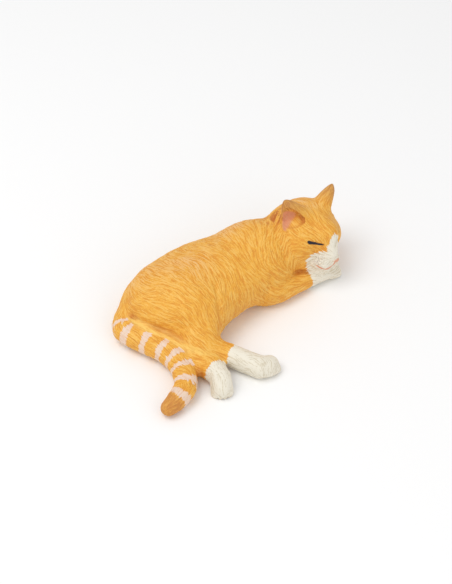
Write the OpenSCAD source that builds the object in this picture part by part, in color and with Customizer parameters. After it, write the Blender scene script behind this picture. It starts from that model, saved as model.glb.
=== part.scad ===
// Sleeping cat figurine, hand-built from hollow cast and solid pressed clay pieces.
// The cat lies on its left side with its rump to -X, its head to +X and its belly to -Y.
// Each piece meets its neighbour on a flat, scored seat and is keyed by a round peg in a socket,
// then luted with slip. The underside is ground flat at z = 0.

/* [Whole figure] */
// Length of the figure along X, tail tip to the far ear
figure_l = 102.8; // [75:0.1:140]

/* [Body] */
// Length, depth and height of the rib cage
ribs = [45.8, 31.4, 24.2]; // [20:0.2:60]
// Length, depth and height of the loin
loin = [38.8, 38.6, 26.6]; // [20:0.2:60]
// Length, depth and height of the hips
hips = [32, 27, 24]; // [16:0.2:50]
// Length, depth and height of the upper thigh
haunch = [26.6, 27, 23.2]; // [14:0.2:40]
// Length, depth and height of the shoulder blades
shoulder = [23.8, 18.4, 19.6]; // [12:0.2:40]
// Thickness of neck at the body and at the skull
neck = [20, 23]; // [14:0.2:28]

/* [Head] */
// Length, width and height of the skull
skull = [23.2, 25.6, 22.8]; // [16:0.2:32]
// Length, width and height of a cheek
cheek = [12.6, 13.2, 12.6]; // [8:0.2:18]
// Length, width and height of the muzzle
muzzle = [9.2, 10.4, 10.2]; // [6:0.2:14]
// Turn, nod and tilt of the head in degrees
head_turn = [-77.7, 1.3, 13.5]; // [-90:0.1:30]
// Height of an ear above its seat
ear_h = 10.2; // [5:0.2:14]
// Width of an ear at its foot
ear_w = 10; // [6:0.2:12]
// Thickness of an ear's shell
ear_wall = 1.1; // [0.8:0.1:2]

/* [Legs and tail] */
// Thickness of the forelegs at elbow and wrist
foreleg_d = [10, 6.8]; // [5:0.2:13]
// Thickness of the hind feet at heel and toes
foot_d = [9, 7.4]; // [5:0.2:11]
// Thickness of the tail at its root, its middle and its tip
tail_d = [11.4, 9.4, 6]; // [5:0.2:13]

/* [Casting and joints] */
// Thickness of clay left round the hollow
wall = 3.6; // [2.5:0.1:5]
// Diameter of the vent hole in the underside
vent_d = 6; // [3:0.5:8]
// Diameter of a peg on a leg, a foot or the tail
peg_d = 4; // [2:0.2:5]
// Length of a peg on a leg, a foot or the tail
peg_l = 3.4; // [2:0.2:5]
// Outer diameter and length of the hollow spigot on the neck
spigot = [13, 4]; // [3:0.5:15]
// Bore through the neck spigot
spigot_bore = 6; // [3:0.5:8]
// Slip-filled clearance round a peg, and past its end
peg_gap = 0.15; // [0.05:0.05:0.4]
// Slip-filled gap where two pieces lie along each other
lay_gap = 0.35; // [0.25:0.05:0.6]

/* [Hidden] */

GINGER = [0.90, 0.64, 0.28];
GINGER_DEEP = [0.84, 0.53, 0.22];
CREAM = [0.91, 0.88, 0.82];
PINKISH = [0.86, 0.60, 0.42];

DESIGN_L = 102.8;
BORE_FN = 48;
TORSO_SIDES = 54;
HEAD_SIDES = 44;
LIMB_SIDES = 28;
HOLLOW_SIDES = 28;
FAR = 90;

// Places of the clay masses on the design grid, in millimetres
RIBS_AT = [12.3, 8.4, 11.4];
LOIN_AT = [-7, 7.4, 10.5];
HIPS_AT = [-21.3, 6.7, 10.5];
HAUNCH_AT = [-16, -1, 11.5];
SHOULDER_AT = [19.7, 12, 15];
SKULL_AT = [-3.4, 0, 1];
BROW_AT = [2.8, 0, 3.4];
BROW = [16.2, 14.6, 13];
CHEEK_AT = [2.5, 7.2, -1.1];
MUZZLE_AT = [9.8, 0, -4.4];
THROAT_AT = [4.5, 0, -8.5];
THROAT = [14, 18, 11];
CHIN_AT = [9.1, 0, -9.4];
CHIN = [9, 8, 6];
WHISKER_PAD_AT = [10.6, 2.7, -5.8];
WHISKER_PAD = [8.6, 6.8, 6.4];
HEAD_AT = [40.5, 6.3, 17];

// Limbs as lists of [x, y, z, radius]
BRIDGE = [[8.6, 0, 4.6, 4.7], [12.9, 0, -1.9, 2.3]];
NECK = [[25.4, 9.9, 11.5, neck[0] / 2], [35.2, 11.1, 13.7, neck[1] / 2]];
KNEE = [[-17, -3, 11, 9], [-15.5, -9.5, 8.8, 7], [-19.5, -15.6, 6.8, 5.9]];
HOCK = [[-19, -13, 6.8, 6.2], [-23, -17.6, 5.4, 5.4]];
BUTTOCK = [[-25, 3, 7, 7.5], [-23.5, -9, 6.3, 6.3], [-22.5, -16, 5.2, 5.2]];
RUMP = [[-23.7, 11.7, 8.9, 8.9], [-27.9, 14.3, 7.5, 6.6]];
ARM = [[10.7, -0.9, 7.5, 6.4], [16.1, -3.1, 6.2, 5.3]];
FORELEG_R = [[15.5, -3.5, 5.4, foreleg_d[0] / 2], [20.3, -4.5, 5, foreleg_d[0] / 2], [26, -4.1, 4.6, 4.5],
    [38, -3.8, 3.8, foreleg_d[1] / 2], [46, -2.9, 2.9, 3.5]];
FORELEG_L = [[23, 9, 5, foreleg_d[0] / 2], [28, 8.7, 4.8, foreleg_d[0] / 2], [34, 7.5, 4, 4.2],
    [43.5, 3.5, 3.4, foreleg_d[1] / 2]];
FOOT_R = [[-18.4, -19.2, 5.8, foot_d[0] / 2], [-13, -24.6, 5, 4.2], [-5.9, -34.6, 3.9, 4.3],
    [-1.7, -34.8, 2.9, foot_d[1] / 2]];
FOOT_L = [[-24.6, -21.8, 4.5, foot_d[0] / 2], [-21.9, -27, 4.6, 4.2], [-21.6, -32.7, 5, 3.8],
    [-22.4, -35.8, 3.1, foot_d[1] / 2]];
TAIL = [[-29.5, 14.3, 7, tail_d[0] / 2], [-36, 11.1, 6.4, 4.6], [-40.6, 5.2, 5.6, 4.5],
    [-36.4, -3.4, 5.2, 4.7], [-32.8, -10.2, 5.1, tail_d[1] / 2], [-30.7, -17.2, 4.9, tail_d[1] / 2],
    [-31.3, -23.7, 4.7, 4.4], [-34, -29.9, 4.3, 4.2], [-39, -33.3, 3.8, 3.8],
    [-43.7, -35.1, 3.4, tail_d[2] / 2]];

// Depth of body left in front of a seat, for its cutter to clear
SEAT_RIM = 1.5;

// Blends between masses: soft on the body, tighter on the face
SOFT = 8;
FIRM = 5;
TIGHT = 3;

// Seat of the neck, and its outward direction
NECK_SEAT = [29.5, 10.5, 13];
NECK_OUT = [0.94, -0.2, 0.28];
EAR_SEAT = [-1.9, 7.4, 8.4];
EAR_OUT = [-0.2, 0.58, 0.78];
EAR_FACING = [0.8, 0.6, 0];
EAR_DEPTH = 0.85;
EAR_PEG_D = 2.4;
EAR_PEG_L = 2;
EAR_FOOT_T = 1;
VENT_AT = [-4, 8];

function xyz(v) = [v.x, v.y, v.z];
function unit(v) = v / norm(v);
function mid(a, b, t) = a + (b - a) * t;
function mirrored(v) = [v.x, -v.y, v.z];

// The head's own axes as columns: forward, left and up
function head_forward() = [cos(head_turn[0]) * cos(head_turn[1]), sin(head_turn[0]) * cos(head_turn[1]),
    sin(head_turn[1])];
function level_left() = [-sin(head_turn[0]), cos(head_turn[0]), 0];
function level_up() = cross(head_forward(), level_left());
HEAD_F = head_forward();
HEAD_L = level_left() * cos(head_turn[2]) - level_up() * sin(head_turn[2]);
HEAD_U = level_up() * cos(head_turn[2]) + level_left() * sin(head_turn[2]);
function in_head(p) = let(q = p - HEAD_AT) [q * HEAD_F, q * HEAD_L, q * HEAD_U];
function on_head(v) = v.x * HEAD_F + v.y * HEAD_L + v.z * HEAD_U;
function from_head(v) = HEAD_AT + on_head(v);

// Signed distance from the clay's surface: below zero inside, above zero outside
function turned(v, a) = [v.x * cos(a) + v.y * sin(a), -v.x * sin(a) + v.y * cos(a), v.z];
function over(v, r) = [v.x / r.x, v.y / r.y, v.z / r.z];
function egg(p, at, size, a = 0) = let(q = turned(p - at, a), r = size / 2, k = norm(over(q, r)),
    g = norm(over(over(q, r), r))) k * (k - 1) / max(g, 0.000001);
function rod(p, a, b) = let(d = xyz(b) - xyz(a), t = max(0, min(1, (p - xyz(a)) * d / (d * d))))
    norm(p - xyz(a) - t * d) - mid(a[3], b[3], t);
function blend(a, b, k) = let(h = max(k - abs(a - b), 0) / k) min(a, b) - h * h * k / 4;
function limb(p, path, k = 2, i = 0) = i >= len(path) - 2 ? rod(p, path[i], path[i + 1])
    : blend(rod(p, path[i], path[i + 1]), limb(p, path, k, i + 1), k);

// Four toes round the last point of a path, side by side across its heading
TOE_AT = [[1.3, 2.4], [2.1, 0.85], [2.1, -0.85], [1.3, -2.4]];
TOE_R = 1.75;
function toes(p, path) = let(tip = path[len(path) - 1], way = unit(xyz(tip) - xyz(path[len(path) - 2])),
    side = unit(cross([0, 0, 1], way)))
    min([for (t = TOE_AT) norm(p - xyz(tip) - way * t[0] - side * t[1] + [0, 0, tip.z - TOE_R - 0.2])
        - TOE_R]);
function paw(p, path) = blend(limb(p, path), toes(p, path), 1.2);

function trunk(p) = blend(
    blend(blend(egg(p, RIBS_AT, ribs, -4), egg(p, LOIN_AT, loin), SOFT), egg(p, HIPS_AT, hips, 26), SOFT),
    blend(egg(p, SHOULDER_AT, shoulder, -24), limb(p, RUMP), SOFT), SOFT);
// How far p lies past the seat of a limb, along it
function past(p, path) = (p - xyz(path[0])) * root_way(path);
function thigh(p) = blend(blend(egg(p, HAUNCH_AT, haunch, 21), max(limb(p, KNEE), past(p, FOOT_R)), FIRM),
    max(limb(p, HOCK), past(p, FOOT_L)), TIGHT);
// Clay kept round the root of a limb, for its seat and socket
function kept(p, path) = wall * 0.7 - rod(p, path[0], path[1]);
// Room for a limb that lies along the body, from a little in front of its seat onwards
function room(p, path) = min(lay_gap - limb(p, path), past(p, path) - SEAT_RIM);
function torso_form(p) = let(
    hind = blend(blend(trunk(p), thigh(p), FIRM), max(limb(p, BUTTOCK), past(p, FOOT_L)), 2),
    body = blend(blend(hind, limb(p, NECK), FIRM), limb(p, ARM), TIGHT))
    max(body, room(p, TAIL), room(p, FORELEG_R), room(p, FORELEG_L), room(p, FOOT_R), room(p, FOOT_L));
function hollow_form(p) = let(
    room = blend(blend(egg(p, RIBS_AT, ribs - [1, 1, 1] * 2 * (wall + 1.4)),
        egg(p, LOIN_AT, loin - [1, 1, 1] * 2 * (wall + 1.4)), FIRM),
        egg(p, HIPS_AT, hips - [1, 1, 1] * 2 * (wall + 2)), FIRM))
    max(room, kept(p, TAIL), kept(p, FORELEG_R), kept(p, FORELEG_L), kept(p, FOOT_R), kept(p, FOOT_L));
function face_form(q) = let(
    crown = blend(egg(q, SKULL_AT, skull), egg(q, BROW_AT, BROW), 4),
    cheeks = blend(blend(crown, egg(q, CHEEK_AT, cheek), 4), egg(q, mirrored(CHEEK_AT), cheek), 4),
    round_skull = blend(cheeks, egg(q, THROAT_AT, THROAT), 4),
    pads = min(egg(q, WHISKER_PAD_AT, WHISKER_PAD), egg(q, mirrored(WHISKER_PAD_AT), WHISKER_PAD)),
    snout = blend(blend(egg(q, MUZZLE_AT, muzzle), pads, 1), limb(q, BRIDGE), TIGHT))
    blend(round_skull, blend(snout, egg(q, CHIN_AT, CHIN), 1.5), TIGHT);
function head_form(p) = max(blend(face_form(in_head(p)), limb(p, NECK), FIRM),
    lay_gap - paw(p, FORELEG_R), lay_gap - paw(p, FORELEG_L));

// Distance along d from o, a point inside the clay, to the surface
REACH_STEPS = 16;
function reach(form, o, d, t = 0, n = REACH_STEPS) = n == 0 ? t
    : let(gap = form(o + t * d)) abs(gap) < 0.002 ? t : reach(form, o, d, max(0, t - gap * 0.95), n - 1);

// A station is [origin, axis, lean]: a fan of rays from origin, leaning along axis by lean degrees.
// The rays crowd together towards the thigh, which stands furthest out from the spine
THIGH_SIDE = 190;
THIGH_CROWD = 34;
function across(w) = unit(cross(abs(w.z) > 0.9 ? [1, 0, 0] : [0, 0, 1], w));
function fan(form, s, sides, floor_z, crowd) = let(u = across(s[1]), v = cross(s[1], u))
    [for (j = [0:sides - 1]) let(even = 360 * j / sides, a = even - crowd * sin(even - THIGH_SIDE),
        d = cos(s[2]) * (cos(a) * u + sin(a) * v) + sin(s[2]) * s[1], q = s[0] + d * reach(form, s[0], d))
        [q.x, q.y, max(q.z, floor_z)]];
function spline(path, i, t) = let(n = len(path) - 1, a = path[max(i - 1, 0)], b = path[i], c = path[i + 1],
    d = path[min(i + 2, n)]) 0.5 * (2 * b + (c - a) * t + (2 * a - 5 * b + 4 * c - d) * t * t
    + (3 * b - a - 3 * c + d) * t * t * t);
function smooth(path, steps) = [for (i = [0:len(path) - 2]) for (k = [0:steps - 1])
    spline(path, i, k / steps), path[len(path) - 1]];
function heading(path, i) = unit(xyz(path[min(i + 1, len(path) - 1)]) - xyz(path[max(i - 1, 0)]));
function along(path) = [for (i = [0:len(path) - 1]) [xyz(path[i]), heading(path, i), 0]];
function round_end(at, way, first, step, last) = [for (a = [first:step:last]) [at, way, a]];

function sheet_faces(rings, sides) = [for (i = [0:rings - 2]) for (j = [0:sides - 1])
    let(a = i * sides + j, b = i * sides + (j + 1) % sides)
        each [[a, a + sides, b + sides], [a, b + sides, b]]];
function tip_faces(ring, sides, tip) = [for (j = [0:sides - 1])
    [ring * sides + j, tip, ring * sides + (j + 1) % sides]];
function root_faces(sides, tip) = [for (j = [0:sides - 1]) [(j + 1) % sides, tip, j]];

// Closed skin through every station; the root end is flat if it starts on a seat, else domed
module skin(form, stations, sides, flat_root = false, floor_z = -FAR, crowd = 0) {
    n = len(stations);
    rings = [for (s = stations) fan(form, s, sides, floor_z, crowd)];
    first = stations[0];
    last = stations[n - 1];
    tip = last[0] + last[1] * reach(form, last[0], last[1]);
    root = flat_root ? first[0] : first[0] - first[1] * reach(form, first[0], -first[1]);
    points = [for (r = rings) each r, [tip.x, tip.y, max(tip.z, floor_z)],
        [root.x, root.y, max(root.z, floor_z)]];
    polyhedron(points, concat(sheet_faces(n, sides), tip_faces(n - 1, sides, n * sides),
        root_faces(sides, n * sides + 1)), convexity = 8);
}

// Turns +Z to point along w
module aim(w) {
    rotate([0, acos(unit(w).z), atan2(w.y, w.x)]) children();
}

module peg(at, out, d, l) {
    translate(at) aim(-out) translate([0, 0, -l / 2]) cylinder(h = l * 1.5, d = d, $fn = BORE_FN);
}

// Flat seat with its socket, cut into the piece that holds the peg
module seat(at, out, d, clear_l, hole_d, hole_l) {
    translate(at) aim(out) cylinder(h = clear_l, d = d + 2 * peg_gap, $fn = BORE_FN);
    translate(at) aim(-out) translate([0, 0, -0.1])
        cylinder(h = hole_l + peg_gap + 0.1, d = hole_d + 2 * peg_gap, $fn = BORE_FN);
}

function root_way(path) = unit(xyz(path[1]) - xyz(path[0]));

module limb_seat(path, clear_l) {
    seat(xyz(path[0]), root_way(path), 2 * path[0][3], clear_l, peg_d, peg_l);
}

module limb_piece(path, form, steps) {
    way = smooth(path, steps);
    end = way[len(way) - 1];
    stations = concat(along(way), round_end(xyz(end), heading(way, len(way) - 1), 12, 12, 78));
    union() {
        skin(form, stations, LIMB_SIDES, true, 0);
        peg_on(path);
    }
}

// Peg on the root of a limb, from inside its clay to the bottom of the socket
module peg_on(path) {
    way = root_way(path);
    translate(xyz(path[0]) + way) aim(-way) cylinder(h = peg_l + 1, d = peg_d, $fn = BORE_FN);
}

module torso() {
    spine = [[-25, 9, 10, 0], [-18, 7, 10.5, 0], [-8, 6.5, 11, 0], [8, 8.5, 11.5, 0], [26, 10.5, 12, 0]];
    way = smooth(spine, 6);
    start = way[0];
    end = way[len(way) - 1];
    stations = concat(round_end(xyz(start), heading(way, 0), -78, 9, -6), along(way),
        round_end(xyz(end), heading(way, len(way) - 1), 9, 9, 78));
    core = smooth([[-24, 8, 10.5, 0], [-8, 7.5, 11, 0], [12, 8.5, 11.5, 0]], 5);
    core_stations = concat(round_end(xyz(core[0]), heading(core, 0), -75, 15, -15), along(core),
        round_end(xyz(core[len(core) - 1]), heading(core, len(core) - 1), 15, 15, 75));
    color(GINGER) difference() {
        skin(function(p) torso_form(p), stations, TORSO_SIDES, crowd = THIGH_CROWD);
        skin(function(p) hollow_form(p), core_stations, HOLLOW_SIDES);
        translate([-FAR, -FAR, -FAR]) cube([2 * FAR, 2 * FAR, FAR]);
        translate(NECK_SEAT) aim(NECK_OUT) cylinder(h = FAR, r = FAR / 2);
        seat(NECK_SEAT, NECK_OUT, spigot[0], 1, spigot[0], spigot[1]);
        translate(NECK_SEAT) aim(-NECK_OUT) cylinder(h = 16, d = spigot_bore, $fn = BORE_FN);
        limb_seat(FORELEG_R, 16);
        limb_seat(FORELEG_L, 12);
        limb_seat(FOOT_R, 10);
        limb_seat(FOOT_L, 10);
        limb_seat(TAIL, 8);
        translate([VENT_AT.x, VENT_AT.y, -1]) cylinder(h = 12, d = vent_d, $fn = BORE_FN);
    }
}

module head() {
    at = from_head([-3, 0, 0]);
    way = on_head([1, 0, 0]);
    stations = concat(round_end(at, way, -78, 6, -6), [[at, way, 0]], round_end(at, way, 5, 4.5, 81));
    neck_hole = NECK_SEAT - unit(NECK_OUT) * (spigot[1] + 1);
    color(GINGER) difference() {
        union() {
            difference() {
                skin(function(p) head_form(p), stations, HEAD_SIDES);
                translate(NECK_SEAT) aim(-NECK_OUT) cylinder(h = FAR, r = FAR / 2);
            }
            translate(NECK_SEAT + unit(NECK_OUT) * 2) aim(-NECK_OUT)
                cylinder(h = spigot[1] + 2, d = spigot[0], $fn = BORE_FN);
        }
        translate(at) sphere(r = 6.5, $fn = 40);
        translate(neck_hole) aim(at - neck_hole)
            cylinder(h = norm(at - neck_hole), d = spigot_bore, $fn = BORE_FN);
        ear_seat(1);
        ear_seat(-1);
    }
}

function ear_place(side) = from_head([EAR_SEAT.x, side * EAR_SEAT.y, EAR_SEAT.z]);
function ear_way(side) = on_head(unit([EAR_OUT.x, side * EAR_OUT.y, EAR_OUT.z]));

module ear_seat(side) {
    seat(ear_place(side), ear_way(side), ear_w, 6, EAR_PEG_D, EAR_PEG_L);
}

// Horseshoe shell of an ear: s runs up the ear, t runs round it from one edge to the other
function ear_point(side, s, t, inset) = let(
    f = on_head([EAR_FACING.x, side * EAR_FACING.y, EAR_FACING.z]), w = ear_way(side), a = unit(cross(w, f)),
    front = cross(a, w),
    r = (ear_w / 2 - 0.2) * pow(1 - s, 0.7) - inset,
    lift = EAR_FOOT_T / 2 + s * (ear_h - EAR_FOOT_T / 2) - inset * 0.6)
    ear_place(side) + w * lift + max(r, 0.12) * (sin(t) * a - EAR_DEPTH * cos(t) * front);
EAR_ROWS = 9;
EAR_COLS = 14;
EAR_OPEN = 118;
function ear_sheet(side, inset) = [for (i = [0:EAR_ROWS]) for (j = [0:EAR_COLS])
    ear_point(side, i / EAR_ROWS * 0.97, -EAR_OPEN + 2 * EAR_OPEN * j / EAR_COLS, inset)];
function quad(a, b, c, d) = [[a, b, c], [a, c, d]];

module ear(side) {
    n = EAR_COLS + 1;
    m = (EAR_ROWS + 1) * n;
    faces = [
        for (i = [0:EAR_ROWS - 1]) for (j = [0:EAR_COLS - 1]) let(k = i * n + j)
            each concat(quad(k, k + 1, k + n + 1, k + n), quad(m + k, m + k + n, m + k + n + 1, m + k + 1)),
        for (i = [0:EAR_ROWS - 1]) let(a = i * n, b = i * n + EAR_COLS)
            each concat(quad(a, a + n, m + a + n, m + a), quad(b, m + b, m + b + n, b + n)),
        for (j = [0:EAR_COLS - 1]) let(b = EAR_ROWS * n + j)
            each concat(quad(j, m + j, m + j + 1, j + 1), quad(b, b + 1, m + b + 1, m + b))];
    color(PINKISH) union() {
        polyhedron(concat(ear_sheet(side, 0), ear_sheet(side, ear_wall)), faces, convexity = 6);
        translate(ear_place(side)) aim(ear_way(side)) cylinder(h = EAR_FOOT_T, d = ear_w, $fn = BORE_FN);
        translate(ear_place(side)) aim(-ear_way(side)) cylinder(h = EAR_PEG_L, d = EAR_PEG_D, $fn = BORE_FN);
    }
}

module ear_right() { ear(-1); }
module ear_left() { ear(1); }
module foreleg_right() { color(CREAM) limb_piece(FORELEG_R, function(p) paw(p, FORELEG_R), 5); }
module foreleg_left() { color(CREAM) limb_piece(FORELEG_L, function(p) paw(p, FORELEG_L), 5); }
module hind_foot_right() { color(CREAM) limb_piece(FOOT_R, function(p) paw(p, FOOT_R), 5); }
module hind_foot_left() { color(CREAM) limb_piece(FOOT_L, function(p) paw(p, FOOT_L), 5); }
module tail() { color(GINGER_DEEP) limb_piece(TAIL, function(p) limb(p, TAIL, 1), 4); }

// Everything above is drawn on the design grid and brought to the asked length here
module sized() { scale(figure_l / DESIGN_L) children(); }

sized() torso();
sized() head();
sized() ear_right();
sized() ear_left();
sized() foreleg_right();
sized() foreleg_left();
sized() hind_foot_right();
sized() hind_foot_left();
sized() tail();
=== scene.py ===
"""Sleeping ginger cat figurine: carved clay forms, luted seams, painted fur, and a plain studio."""

import logging
import math
from dataclasses import dataclass, field
from enum import Enum
from typing import Callable, Sequence

import bpy
import numpy as np
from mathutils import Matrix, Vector


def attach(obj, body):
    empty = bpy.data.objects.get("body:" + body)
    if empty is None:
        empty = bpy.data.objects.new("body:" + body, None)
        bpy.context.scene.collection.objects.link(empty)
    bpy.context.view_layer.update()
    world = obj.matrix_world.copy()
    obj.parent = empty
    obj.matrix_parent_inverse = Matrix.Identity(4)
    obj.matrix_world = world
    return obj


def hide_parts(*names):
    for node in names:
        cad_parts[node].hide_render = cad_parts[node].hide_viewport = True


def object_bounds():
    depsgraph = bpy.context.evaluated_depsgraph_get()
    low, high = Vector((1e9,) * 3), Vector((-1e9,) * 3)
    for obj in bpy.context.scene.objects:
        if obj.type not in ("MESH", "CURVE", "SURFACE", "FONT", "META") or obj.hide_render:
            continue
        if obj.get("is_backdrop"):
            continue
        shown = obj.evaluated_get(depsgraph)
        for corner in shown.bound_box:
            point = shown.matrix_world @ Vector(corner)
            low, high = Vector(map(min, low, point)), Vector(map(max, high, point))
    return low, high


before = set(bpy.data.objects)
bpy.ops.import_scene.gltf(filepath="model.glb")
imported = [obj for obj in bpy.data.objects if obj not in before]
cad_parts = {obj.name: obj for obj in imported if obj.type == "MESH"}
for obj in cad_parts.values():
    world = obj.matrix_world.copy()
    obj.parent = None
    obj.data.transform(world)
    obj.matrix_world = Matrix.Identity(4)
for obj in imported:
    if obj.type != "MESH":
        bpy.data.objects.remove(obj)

log = logging.getLogger("cat_figurine")

MM = 0.001
Points = np.ndarray
Values = np.ndarray
Gap = Callable[[Points], Values]
Row = tuple[float, float, float, float]
Paint = tuple[float, float, float, float]
Spot = tuple[float, float, float]
CORNERS = tuple((i, j, m) for i in (0, 1) for j in (0, 1) for m in (0, 1))
TIPS = np.array([[1, 1, 1], [1, -1, -1], [-1, 1, -1], [-1, -1, 1]])


# ---------------------------------------------------------------- clay forms


def unit(v: Sequence[float]) -> np.ndarray:
    """Returns v at length one."""
    a = np.asarray(v, float)
    return a / np.linalg.norm(a)


def units(v: Points) -> Points:
    """Returns every row of v at length one."""
    return v / np.maximum(np.linalg.norm(v, axis=1, keepdims=True), 1e-9)


def ease(x: Values, low: float, high: float) -> Values:
    """Returns a smooth step of x, 0 at low and 1 at high."""
    t = np.clip((x - low) / (high - low), 0.0, 1.0)
    return t * t * (3.0 - 2.0 * t)


def blend(a: Values, b: Values, soft: float | Values) -> Values:
    """Joins two forms with a fillet.

    Args:
        a: Gap of the first form, below zero inside it.
        b: Gap of the second form.
        soft: Width of the fillet in millimetres.

    Returns:
        The gap of the two forms pressed together.
    """
    h = np.maximum(soft - np.abs(a - b), 0.0) / soft
    return np.minimum(a, b) - h * h * soft * 0.25


def carve(a: Values, b: Values, soft: float) -> Values:
    """Returns form a with form b cut out of it, the edge eased over soft millimetres."""
    return -blend(-a, b, soft)


@dataclass(frozen=True)
class Egg:
    """An egg-shaped lump of clay, in millimetres."""

    at: Spot
    size: Spot
    turn: float = 0.0

    def gap(self, p: Points) -> Values:
        """Returns about how far each point stands outside the lump.

        Args:
            p: Points in millimetres.

        Returns:
            One value for each point.
        """
        c, s = math.cos(math.radians(self.turn)), math.sin(math.radians(self.turn))
        v = p - np.asarray(self.at, p.dtype)
        q = np.stack([v[:, 0] * c + v[:, 1] * s, v[:, 1] * c - v[:, 0] * s, v[:, 2]], 1)
        r = np.asarray(self.size, p.dtype) / 2
        k = np.linalg.norm(q / r, axis=1)
        return k * (k - 1) / np.maximum(np.linalg.norm(q / (r * r), axis=1), 1e-6)

    def mirrored(self) -> "Egg":
        """Returns the same lump on the other side of the middle plane."""
        return Egg((self.at[0], -self.at[1], self.at[2]), self.size, -self.turn)


def where_near(far: Values, reach: float, gap: Gap, p: Points) -> Values:
    """Measures a form only where it matters.

    Args:
        far: How far each point stands outside a box round the form.
        reach: Distance beyond which that is close enough.
        gap: The form's own gap.
        p: Points in millimetres.

    Returns:
        The form's gap near it, and the distance from its box elsewhere.
    """
    out = np.array(far)
    near = far < reach
    if near.any():
        out[near] = gap(p[near])
    return out


@dataclass(frozen=True)
class Limb:
    """A tapering roll of clay through rows of x, y, z and radius."""

    path: tuple[Row, ...]
    soft: float = 0.25

    def gap(self, p: Points) -> Values:
        """Returns how far each point stands outside the roll.

        Args:
            p: Points in millimetres.

        Returns:
            One value for each point.
        """
        out = None
        for a, b in zip(self.path[:-1], self.path[1:]):
            start = np.asarray(a[:3], p.dtype)
            way = np.asarray(b[:3], p.dtype) - start
            length = math.sqrt(float(way @ way))
            taper = min(max((a[3] - b[3]) / length, -0.9), 0.9)
            v = p - start
            along = v @ way / length
            aside = np.sqrt(np.maximum(np.sum(v * v, axis=1) - along * along, 0.0))
            t = np.clip((along - aside * taper / math.sqrt(1 - taper * taper)) / length, 0.0, 1.0)
            rod = np.hypot(aside, along - t * length) - (a[3] + (b[3] - a[3]) * t)
            out = rod if out is None else blend(out, rod, self.soft)
        return out

    def room(self, p: Points) -> Values:
        """Returns how far each point stands outside the box that holds the roll.

        Args:
            p: Points in millimetres.

        Returns:
            One value for each point.
        """
        rows = np.array(self.path, p.dtype)
        low = (rows[:, :3] - rows[:, 3:]).min(0)
        high = (rows[:, :3] + rows[:, 3:]).max(0)
        return np.linalg.norm(np.maximum(np.maximum(low - p, p - high), 0), axis=1)

    def smoothed(self, steps: int) -> "Limb":
        """Returns the roll bent along a smooth curve, with steps rows from one given row to the next.

        Args:
            steps: Rows from one given row to the next.

        Returns:
            The bent roll.
        """
        rows = np.array(self.path)
        ends = np.vstack([2 * rows[0] - rows[1], rows, 2 * rows[-1] - rows[-2]])
        out = []
        for i in range(1, len(ends) - 2):
            a, b, c, d = ends[i - 1 : i + 3]
            for t in np.arange(steps) / steps:
                bend = (2 * a - 5 * b + 4 * c - d) * t**2
                twist = (3 * b - a - 3 * c + d) * t**3
                out.append(0.5 * (2 * b + (c - a) * t + bend + twist))
        out.append(rows[-1])
        return Limb(tuple(tuple(float(x) for x in r) for r in out), self.soft)

    def root(self) -> np.ndarray:
        """Returns the middle of the roll's first end."""
        return np.array(self.path[0][:3])

    def way(self) -> np.ndarray:
        """Returns the roll's direction as it leaves its first end."""
        return unit(np.array(self.path[1][:3]) - self.root())

    def along(self, p: Points) -> tuple[Values, Points]:
        """Finds each point's place along the roll.

        Args:
            p: Points in millimetres.

        Returns:
            The distance travelled along the roll, and the roll's direction there.
        """
        best = np.full(len(p), np.inf)
        travel = np.zeros(len(p))
        way_at = np.zeros((len(p), 3))
        done = 0.0
        for a, b in zip(self.path[:-1], self.path[1:]):
            start, way = np.array(a[:3]), np.array(b[:3]) - np.array(a[:3])
            length = float(np.linalg.norm(way))
            t = np.clip((p - start) @ way / length**2, 0.0, 1.0)
            far = np.linalg.norm(p - start - t[:, None] * way, axis=1)
            near = far < best
            best[near], travel[near], way_at[near] = far[near], (done + t * length)[near], way / length
            done += length
        return travel, way_at


class Part(Enum):
    """The figurine's nine pieces, by the name of their CAD node."""

    TORSO = "torso"
    HEAD = "head"
    EAR_RIGHT = "ear_right"
    EAR_LEFT = "ear_left"
    FORELEG_RIGHT = "foreleg_right"
    FORELEG_LEFT = "foreleg_left"
    FOOT_RIGHT = "hind_foot_right"
    FOOT_LEFT = "hind_foot_left"
    TAIL = "tail"


@dataclass(frozen=True)
class HeadPose:
    """The head's own axes: forward along the nose, left, and up through the crown."""

    at: Spot = (40.5, 6.3, 17.0)
    turn: float = -77.7
    nod: float = 1.3
    tilt: float = 13.5

    def axes(self) -> np.ndarray:
        """Returns the forward, left and up axes as columns."""
        turn, nod, tilt = (math.radians(a) for a in (self.turn, self.nod, self.tilt))
        forward = np.array([math.cos(turn) * math.cos(nod), math.sin(turn) * math.cos(nod), math.sin(nod)])
        left = np.array([-math.sin(turn), math.cos(turn), 0.0])
        up = np.cross(forward, left)
        c, s = math.cos(tilt), math.sin(tilt)
        return np.stack([forward, left * c - up * s, up * c + left * s], 1)

    def local(self, p: Points) -> Points:
        """Returns points of the figure in the head's own axes."""
        return (p - np.asarray(self.at, p.dtype)) @ self.axes().astype(p.dtype)

    def world(self, q: Sequence[float] | Points) -> np.ndarray:
        """Returns a point or points of the head in the figure's axes."""
        return np.asarray(q) @ self.axes().T + np.asarray(self.at)

    def swing(self, q: Sequence[float] | Points) -> np.ndarray:
        """Returns a direction or directions of the head in the figure's axes."""
        return np.asarray(q) @ self.axes().T


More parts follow.
